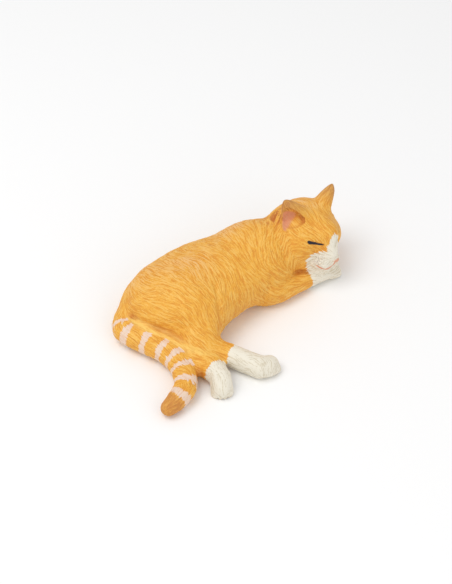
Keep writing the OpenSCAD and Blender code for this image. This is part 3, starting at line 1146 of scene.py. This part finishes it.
    def lie(self, p: Points, out: Points) -> Points:
        """Finds how the fur lies.

        Args:
            p: Points in millimetres.
            out: The surface's outward direction at each point.

        Returns:
            The direction from root to tip of the hair at each point, along the surface.
        """
        cat = self.cat
        way = np.zeros_like(p)
        for comb in BODY_COMBS:
            near = Lump(comb.at, self.comb_reach, 1.0).share(p) + 1e-12
            way += near[:, None] * unit(comb.way)
        way = units(way)
        body, face = cat.body_gap(p), cat.face_gap(p)
        away = cat.pose.swing(units(cat.pose.local(p) - np.array(self.whisker_root)))
        share = ease(body - face, -1.5, 2.0)[:, None]
        way = way * (1 - share) + away * share
        core = np.minimum(body, face)
        gaps = cat.part_gaps(p)
        for name, gap in gaps.items():
            if name in cat.limbs:
                along = cat.limbs[name].along(p)[1]
            else:
                along = np.broadcast_to(cat.ears[name].frame()[1][:, 2], p.shape)
            share = ease(core - gap, -0.6, 1.6)[:, None]
            way = way * (1 - share) + along * share
        way -= out * np.sum(way * out, axis=1, keepdims=True)
        way = units(way)
        wave = (grain(p, self.sway_pitch) - 0.5) * self.sway
        return way * np.cos(wave)[:, None] + np.cross(out, way) * np.sin(wave)[:, None]

    def drawn(self, lines: tuple[Limb, ...], p: Points) -> Values:
        """Returns how far each point lies outside brush lines drawn on the front of the face."""
        q = self.cat.pose.local(p)
        nearest = np.min([line.gap(q * (0.0, 1.0, 1.0)) for line in lines], axis=0)
        return nearest + np.where(q[:, 0] > self.brush_from, 0.0, self.cat.reach)

    def grooves(self, p: Points) -> Values:
        """Returns how deep the lines of the face, the nape and the creases are cut, in millimetres.

        Args:
            p: Points in millimetres.

        Returns:
            One value for each point.
        """
        out = np.zeros(len(p))
        for lines, depth in ((self.lids, self.lid_depth), (self.mouth, self.mouth_depth)):
            out += depth * np.exp(-((np.maximum(self.drawn(lines, p), 0) / self.groove_width) ** 2))
        behind = (p - np.array(self.cat.neck_seat)) @ unit(self.cat.neck_out) + self.nape_back
        near_side = ease(-p[:, 1], -7.0, 0.0) * ease(p[:, 2], 10.0, 14.0)
        out = out + self.nape_depth * near_side * np.exp(-((behind / self.nape_width) ** 2))
        return out + self.crease_depth * self.pressed(p)

    def depth(self, p: Points) -> Values:
        """Returns how deeply the fur is carved at each point, in millimetres.

        Args:
            p: Points in millimetres.

        Returns:
            One value for each point.
        """
        cat = self.cat
        q = cat.pose.local(p)
        body, face = cat.body_gap(p), cat.face_gap(p)
        out = np.full(len(p), self.body_depth) + sum(lump.share(p) for lump in self.depths)
        on_face = ease(body - face, -1.0, 1.5)
        out = out * (1 - on_face) + on_face * (self.face_depth - self.nose_shallow * ease(q[:, 0], 7.0, 11.0))
        core = np.minimum(body, face)
        for name, gap in cat.part_gaps(p).items():
            share = ease(core - gap, -0.4, 1.2)
            fine = self.leg_depth if name in cat.limbs else self.ear_depth
            fine = self.tail_depth if name is Part.TAIL else fine
            out = out * (1 - share) + share * fine
        return out * ease(p[:, 2], 0.3, 1.6)

    def marks(self, part: Part, p: Points, out: Points) -> dict[str, Values]:
        """Finds where each paint goes.

        Args:
            part: The piece being painted.
            p: Points in millimetres.
            out: The surface's outward direction at each point.

        Returns:
            For each paint, how far inside its edge a point is in millimetres, or its strength from 0 to 1.
        """
        cat, none, nil = self.cat, np.full(len(p), -self.cat.reach), np.zeros(len(p))
        q = cat.pose.local(p)
        travel = cat.limbs[part].along(p)[0] if part in cat.limbs else none
        cream = travel - self.socks[part] if part in self.socks else none
        if part is Part.HEAD:
            cream = -blend(self.bib.gap(q), self.blaze.gap(q), self.bib_soft)
        ring = none
        if part is Part.TAIL:
            for at, half in self.rings:
                ring = np.maximum(ring, half - np.abs(travel - at))
        lid, lip = self.drawn(self.lids, p), self.drawn(self.mouth, p)
        ears = list(cat.ears.values())
        eared = part is Part.HEAD or part in cat.ears
        pink = np.max([e.bare(p) for e in ears], axis=0) if eared else nil
        tip = nil
        if part is Part.TAIL:
            tip = ease(travel, *self.tail_tip)
        elif part in cat.ears:
            rise = [ease(e.local(p)[:, 2], e.height * self.ear_tip_from, e.height) for e in ears]
            tip = np.max(rise, axis=0)
        # Painted shade: darker where clay stands close in front of the surface, in hollows and along the
        # creases between masses.
        probe = self.shade_probe
        deep = (probe - self.whole(p + out * probe)) / probe + self.pressed(p) * self.crease_shade_share
        # Painted highlight: a pale band along the fold that runs over the tail root.
        fold_highlight = np.exp(-((cat.fold.gap(p) / self.fold_width) ** 2))
        return {
            "cream": cream,
            "ring": ring,
            "ink": -lid if part is Part.HEAD else none,
            "lips": np.maximum(-lip, self.lip_clear - cat.nose.gap(q)) if part is Part.HEAD else none,
            "pink": pink,
            "deep": np.clip(deep, 0, 1),
            "pale_tops": sum(lump.share(p) for lump in self.pale_tops),
            "tuft_shade": sum(lump.share(p) for lump in self.shaded_tuft_spots),
            "fold": fold_highlight if part in (Part.TORSO, Part.TAIL) else nil,
            "clay": cat.bare_clay(p),
            "freckle": np.exp(-np.sum(((q - np.array(self.freckles)) / self.freckle_reach) ** 2, axis=1)),
            "tip": tip,
        }


# ---------------------------------------------------------------- materials


def srgb(red: int, green: int, blue: int) -> Paint:
    """Returns a paint's colour, given as display values from 0 to 255, as linear light.

    Args:
        red: Red, from 0 to 255.
        green: Green, from 0 to 255.
        blue: Blue, from 0 to 255.

    Returns:
        The colour with full cover.
    """
    def line(v: int) -> float:
        """Returns one display value as linear light."""
        c = v / 255
        return c / 12.92 if c <= 0.04045 else ((c + 0.055) / 1.055) ** 2.4
    return line(red), line(green), line(blue), 1.0


class Wire:
    """A value, vector or colour inside a material, joined to others with ordinary operators."""

    def __init__(self, sheet: "Sheet", socket: bpy.types.NodeSocket) -> None:
        """Holds one output of a node on a sheet."""
        self.sheet = sheet
        self.socket = socket

    @property
    def wide(self) -> bool:
        """Returns whether this is a vector or a colour."""
        return self.socket.type in ("VECTOR", "RGBA")

    def _sum(self, operation: str, a: "Wire | float", b: "Wire | float") -> "Wire":
        """Works out one sum.

        Args:
            operation: The sum's name.
            a: Its first value.
            b: Its second value.

        Returns:
            The result.
        """
        if self.wide:
            both = all(isinstance(value, Wire) and value.wide for value in (a, b))
            if operation == "MULTIPLY" and not both:
                vector, size = (a, b) if isinstance(a, Wire) and a.wide else (b, a)
                return self.sheet.node("ShaderNodeVectorMath", {0: vector, "Scale": size}, operation="SCALE")
            return self.sheet.node("ShaderNodeVectorMath", {0: a, 1: b}, operation=operation)
        return self.sheet.node("ShaderNodeMath", {0: a, 1: b}, operation=operation)

    def __add__(self, other: "Wire | float") -> "Wire":
        """Returns this with other added."""
        return self._sum("ADD", self, other)

    def __radd__(self, other: float) -> "Wire":
        """Returns other with this added."""
        return self._sum("ADD", other, self)

    def __sub__(self, other: "Wire | float") -> "Wire":
        """Returns this less other."""
        return self._sum("SUBTRACT", self, other)

    def __rsub__(self, other: float) -> "Wire":
        """Returns other less this."""
        return self._sum("SUBTRACT", other, self)

    def __mul__(self, other: "Wire | float") -> "Wire":
        """Returns this times other."""
        return self._sum("MULTIPLY", self, other)

    def __rmul__(self, other: float) -> "Wire":
        """Returns other times this."""
        return self._sum("MULTIPLY", other, self)

    def __truediv__(self, other: float) -> "Wire":
        """Returns this divided by other."""
        return self._sum("DIVIDE", self, other)

    def __rtruediv__(self, other: float) -> "Wire":
        """Returns other divided by this."""
        return self._sum("DIVIDE", other, self)

    def over(self, low: float, high: float) -> "Wire":
        """Returns a smooth step, 0 where this is below low and 1 where it is above high."""
        ends = {"Value": self, "From Min": low, "From Max": high}
        return self.sheet.node("ShaderNodeMapRange", ends, interpolation_type="SMOOTHSTEP")


class Sheet:
    """The nodes of one material."""

    COLUMN = 180
    ROWS = 12

    def __init__(self, name: str) -> None:
        """Starts an empty material of that name."""
        self.material = bpy.data.materials.new(name)
        self.material.use_nodes = True
        self.tree = self.material.node_tree
        self.tree.nodes.clear()
        self.count = 0

    def node(
        self,
        kind: str,
        inputs: dict[str | int, "Wire | float | Sequence[float]"],
        output: str | int = 0,
        **settings: object,
    ) -> Wire:
        """Adds one node.

        Args:
            kind: The node's type.
            inputs: What each input is joined or set to.
            output: The output wanted.
            **settings: The node's own choices.

        Returns:
            The wanted output.
        """
        node = self.tree.nodes.new(kind)
        node.location = (self.count // self.ROWS * self.COLUMN, -(self.count % self.ROWS) * self.COLUMN)
        self.count += 1
        for key, value in settings.items():
            setattr(node, key, value)
        for key, value in inputs.items():
            if isinstance(value, Wire):
                self.tree.links.new(value.socket, node.inputs[key])
            else:
                node.inputs[key].default_value = value
        return Wire(self, node.outputs[output])

    def mark(self, name: str, output: str = "Fac") -> Wire:
        """Returns one of the marks kept in the mesh."""
        return self.node("ShaderNodeAttribute", {}, output, attribute_name=name)

    def spots(self, place: Wire, pitch: float, detail: float = 0.0) -> Wire:
        """Returns soft noise from 0 to 1, its spots pitch millimetres apart."""
        inputs = {"Vector": place, "Scale": 1 / pitch, "Detail": detail, "Roughness": 0.55}
        return self.node("ShaderNodeTexNoise", inputs, "Fac")

    def finished(self, shader: Wire) -> bpy.types.Material:
        """Joins a shader to the output and returns the material."""
        end = self.tree.nodes.new("ShaderNodeOutputMaterial")
        self.tree.links.new(shader.socket, end.inputs["Surface"])
        return self.material

    def paint(self, under: "Wire | Paint", over: "Wire | Paint", share: "Wire | float") -> Wire:
        """Returns one colour painted over another."""
        return self.node("ShaderNodeMix", {0: share, 6: under, 7: over}, 2, data_type="RGBA")


@dataclass(frozen=True)
class Finish:
    """One painted finish: its colours, its brush marks and how it shines."""

    slot: str
    # Painted shade and highlight on the carved hair: the groove colour goes into the low parts of each
    # stroke, the ridge colour onto the raised parts, fur between.
    ridge: Paint = srgb(247, 194, 96)
    fur: Paint = srgb(239, 175, 60)
    groove: Paint = srgb(226, 149, 46)
    # Painted shade: the dark orange laid into hollows and creases, and between the deeply carved tufts behind
    # the near ear.
    crease: Paint = srgb(196, 108, 26)
    # Lighter pinkish colour for the patches on the high points, laid on the raised hair.
    pale_tops: Paint = srgb(240, 190, 140)
    cream: Paint = srgb(238, 231, 214)
    # Painted shade on the white paint: the darker cream laid into carved grooves and creases.
    shaded_cream: Paint = srgb(212, 200, 174)
    ring: Paint = srgb(238, 216, 202)
    ink: Paint = srgb(30, 24, 36)
    lips: Paint = srgb(222, 146, 112)
    pink: Paint = srgb(226, 154, 124)
    tip: Paint = srgb(203, 132, 58)
    # Painted highlight: the pale yellow laid along the lit ridge of the fold over the tail.
    fold: Paint = srgb(252, 208, 110)
    freckle: Paint = srgb(150, 130, 122)
    clay: Paint = srgb(222, 206, 184)
    hair: float = 0.42
    hair_step: float = 0.42
    hair_taps: int = 7
    bump: float = 0.16
    roughness: float = 0.62

    def material(self) -> bpy.types.Material:
        """Returns the finish as a material."""
        s = Sheet(self.slot)
        place = s.node("ShaderNodeTexCoord", {}, "Object") * (1 / MM)
        lie = s.mark("lie", "Vector")
        middle = (self.hair_taps - 1) / 2
        total = None
        for k in range(self.hair_taps):
            tap = s.spots(place + lie * ((k - middle) * self.hair_step), self.hair)
            total = tap if total is None else total + tap
        hair = (total / self.hair_taps - 0.5) * 4.5 + 0.5
        lock = s.mark("lock")
        cut = (hair * 0.8 + lock * 0.2).over(0.1, 0.9)
        tone = s.spots(place, 7.0, 2.0)
        # The hair height that drives the bump also picks the colour: darker in the grooves as painted shade,
        # lighter on the raised strokes as painted highlight, varied by random tone.
        colour = s.paint(self.groove, self.fur, cut.over(0.0, 0.55))
        colour = s.paint(colour, self.ridge, (cut + (tone - 0.5) * 0.5).over(0.4, 1.15))
        # Lighter pinkish colour on the raised hair of the highest points.
        colour = s.paint(colour, self.pale_tops, s.mark("pale_tops") * (tone * 0.7 + cut * 0.6).over(0.45, 0.95) * 0.7)
        # Painted shade between the carved tufts behind the near ear, where the hair is cut lowest.
        colour = s.paint(colour, self.crease, s.mark("tuft_shade") * (1.0 - lock.over(0.2, 0.7)) * 0.6)
        # Painted highlight along the fold's ridge.
        colour = s.paint(colour, self.fold, s.mark("fold") * (cut * 0.4 + 0.5))
        # Painted shade in hollows and creases, in the dark crease colour.
        colour = s.paint(colour, self.crease, s.mark("deep").over(0.12, 0.75) * 0.8)
        colour = s.paint(colour, self.tip, s.mark("tip") * (cut * -0.5 + 1.0))
        ragged = (hair - 0.5) * 1.1 + (lock - 0.5) * 0.9
        band = (s.mark("ring") + ragged * 0.8).over(-0.15, 0.25) * (cut * 0.3 + 0.65)
        colour = s.paint(colour, self.ring, band)
        sock = (s.mark("cream") + ragged * 0.75).over(-0.15, 0.2)
        # White paint darkened in grooves and creases as painted shade, full cream on the raised hair.
        white = s.paint(self.shaded_cream, self.cream, (cut - s.mark("deep") * 0.5).over(-0.2, 0.6))
        colour = s.paint(colour, white, sock)
        freckle = s.mark("freckle") * s.spots(place, 0.45).over(0.5, 0.62)
        colour = s.paint(colour, self.freckle, freckle * 0.6)
        colour = s.paint(colour, self.pink, s.mark("pink") * (tone * 0.6 + 0.5))
        colour = s.paint(colour, self.lips, (s.mark("lips") + (tone - 0.5) * 0.1).over(-0.12, 0.06))
        colour = s.paint(colour, self.ink, (s.mark("ink") + (hair - 0.5) * 0.25).over(-0.08, 0.06))
        colour = s.paint(colour, self.clay, s.mark("clay"))
        rough = cut * -0.08 + (self.roughness + 0.04)
        carving = {"Strength": 1.0, "Distance": self.bump * MM, "Height": hair * (1.0 - sock * 0.45)}
        normal = s.node("ShaderNodeBump", carving, "Normal")
        surface = {"Base Color": colour, "Roughness": rough, "Normal": normal}
        shader = s.node("ShaderNodeBsdfPrincipled", surface, "BSDF")
        return s.finished(shader)


# ---------------------------------------------------------------- figurine and studio


@dataclass(frozen=True)
class Placing:
    """Where the design grid lies in the frame."""

    design_low: float = -46.7
    design_length: float = 102.8

    def points(self, p: Points, low: Sequence[float], high: Sequence[float]) -> Points:
        """Returns design points in millimetres as frame points in metres, inside the frame's box."""
        size = (high[0] - low[0]) / self.design_length
        start = np.array([low[0] - self.design_low * size, 0.0, low[2]])
        return p * size + start


SLOTS = {
    Part.TORSO: "ginger_fur",
    Part.HEAD: "head_fur",
    Part.EAR_RIGHT: "ear_fur",
    Part.EAR_LEFT: "ear_fur",
    Part.FORELEG_RIGHT: "foreleg_fur",
    Part.FORELEG_LEFT: "foreleg_fur",
    Part.FOOT_RIGHT: "cream_sock",
    Part.FOOT_LEFT: "cream_sock",
    Part.TAIL: "ringed_tail",
}
EAR_SLOT = SLOTS[Part.EAR_LEFT]
FINE_STEPS = {Part.TORSO: 0.34, Part.HEAD: 0.22}
LIMB_STEP = 0.24
SEARCH_STEP = 1.5
SEARCH_SHARE = 0.9
SEARCH_BOX = ((-52, 60), (-46, 34), (-2, 42))
SMOOTH_ANGLE = math.radians(50)


@dataclass
class Figurine:
    """The nine painted pieces of the cat."""

    cat: Cat
    coat: Coat
    box: tuple[Sequence[float], Sequence[float]]
    placing: Placing = field(default_factory=Placing)

    def room(self, part: Part) -> tuple[np.ndarray, np.ndarray]:
        """Returns the lowest and highest corner of the space that holds a piece.

        Args:
            part: The piece.

        Returns:
            The two corners in millimetres.
        """
        sides = [np.arange(low, high, SEARCH_STEP) for low, high in SEARCH_BOX]
        grid = np.stack(np.meshgrid(*sides, indexing="ij"), -1).reshape(-1, 3)
        near = grid[self.cat.constraints(part, grid).max(0) < SEARCH_STEP * SEARCH_SHARE]
        return near.min(0) - SEARCH_STEP, near.max(0) + SEARCH_STEP

    def shape(self, part: Part) -> tuple[Skin, Points]:
        """Returns a piece's mesh before carving, and the surface's outward direction at each point.

        Args:
            part: The piece.

        Returns:
            The mesh, and one direction for each of its points.
        """
        step = FINE_STEPS.get(part, LIMB_STEP)
        skinner = Skinner(step)
        skin = skinner.wrap(lambda p: self.cat.constraints(part, p).max(0), *self.room(part))
        skin = skinner.settle(skin, lambda p: self.cat.constraints(part, p))
        return skin, self.coat.slopes(skin.points)

    def build(self, part: Part, material: bpy.types.Material) -> bpy.types.Object:
        """Builds one piece.

        Args:
            part: The piece.
            material: Its finish.

        Returns:
            The finished object, riding on the frame.
        """
        skin, out = self.shape(part)
        p = skin.points
        lie = self.coat.lie(p, out)
        lock = strands(p, lie, self.coat.lock, self.coat.lock_length)
        shown = ease(self.coat.whole(p), -0.4, -0.03)
        depth = self.coat.depth(p) * (1 - lock) / 2 + self.coat.grooves(p)
        carved = p - out * (depth * shown)[:, None]
        carved[:, 2] = np.maximum(carved[:, 2], 0.0)
        marks = self.coat.marks(part, p, out)
        marks["lock"] = lock / 2 + 0.5
        mesh = bpy.data.meshes.new(part.value)
        mesh.from_pydata(self.placing.points(carved, *self.box).tolist(), [], skin.quads.tolist())
        mesh.validate()
        for name, values in marks.items():
            mark = mesh.attributes.new(name, "FLOAT", "POINT")
            mark.data.foreach_set("value", values.astype(np.float32))
        mark = mesh.attributes.new("lie", "FLOAT_VECTOR", "POINT")
        mark.data.foreach_set("vector", lie.astype(np.float32).ravel())
        mesh.materials.append(material)
        piece = bpy.data.objects.new(f"cat_{part.value}", mesh)
        bpy.context.scene.collection.objects.link(piece)
        chosen = {"object": piece, "active_object": piece}
        chosen |= {"selected_objects": [piece], "selected_editable_objects": [piece]}
        with bpy.context.temp_override(**chosen):
            bpy.ops.object.shade_smooth_by_angle(angle=SMOOTH_ANGLE)
        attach(piece, "root")
        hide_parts(part.value)
        log.info("%s: %d points, %d faces", piece.name, len(mesh.vertices), len(mesh.polygons))
        return piece


@dataclass(frozen=True)
class Studio:
    """Pale floor, soft light and a camera above the figurine's near side."""

    azimuth: float = -30.0
    elevation: float = 44.0
    distance: float = 0.52
    half_view: float = 12.0
    target: Spot = (0.0, 0.0, 0.010)
    floor_size: float = 6.0
    floor_tone: float = 0.97
    sky: float = 0.69
    light_size: float = 0.5
    key_power: float = 2.5
    key_at: Spot = (-0.35, 0.05, 0.75)
    fill_power: float = 0.55
    fill_at: Spot = (0.05, -0.62, 0.3)

    def build(self, ground: float) -> None:
        """Adds the floor, the lights and the camera.

        Args:
            ground: Height of the floor.
        """
        bpy.ops.mesh.primitive_plane_add(size=self.floor_size, location=(0, 0, ground))
        floor = bpy.context.object
        floor.name = "floor"
        sheet = Sheet("floor")
        tone = (self.floor_tone,) * 3 + (1.0,)
        surface = {"Base Color": tone, "Roughness": 0.9, "Specular IOR Level": 0.1}
        floor.data.materials.append(sheet.finished(sheet.node("ShaderNodeBsdfPrincipled", surface, "BSDF")))
        floor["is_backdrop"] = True
        world = bpy.data.worlds.new("studio")
        world.use_nodes = True
        back = world.node_tree.nodes["Background"]
        back.inputs["Color"].default_value = (1, 1, 1, 1)
        back.inputs["Strength"].default_value = self.sky
        bpy.context.scene.world = world
        self.light("key_light", self.key_at, self.key_power)
        self.light("fill_light", self.fill_at, self.fill_power)
        turn, rise = math.radians(self.azimuth), math.radians(self.elevation)
        level = math.cos(rise)
        back_way = np.array([math.sin(turn) * level, -math.cos(turn) * level, math.sin(rise)])
        bpy.ops.object.camera_add(location=np.array(self.target) + back_way * self.distance)
        camera = bpy.context.object
        camera.name = "camera"
        camera.data.lens = camera.data.sensor_width / 2 / math.tan(math.radians(self.half_view))
        self.aim(camera)
        bpy.context.scene.camera = camera
        bpy.context.scene.view_settings.view_transform = "Standard"
        log.info("studio ready")

    def light(self, name: str, at: Spot, power: float) -> None:
        """Adds one soft square light.

        Args:
            name: The light's name.
            at: Its place in metres.
            power: Its power in watts.
        """
        bpy.ops.object.light_add(type="AREA", location=at)
        light = bpy.context.object
        light.name = name
        light.data.energy = power
        light.data.size = self.light_size
        self.aim(light)

    def aim(self, item: bpy.types.Object) -> None:
        """Turns a light or a camera towards the figurine."""
        item.rotation_euler = (Vector(self.target) - item.location).to_track_quat("-Z", "Y").to_euler()


def main() -> None:
    """Builds the figurine over the frame."""
    logging.basicConfig(level=logging.INFO)
    cad_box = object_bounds()
    cat = Cat()
    figurine = Figurine(cat, Coat(cat), cad_box)
    finishes = {slot: Finish(slot).material() for slot in sorted(set(SLOTS.values())) if slot != EAR_SLOT}
    finishes[EAR_SLOT] = Finish(EAR_SLOT, tip=srgb(188, 126, 70)).material()
    for part in Part:
        figurine.build(part, finishes[SLOTS[part]])
    Studio().build(cad_box[0][2])


if __name__ == "__main__":
    main()
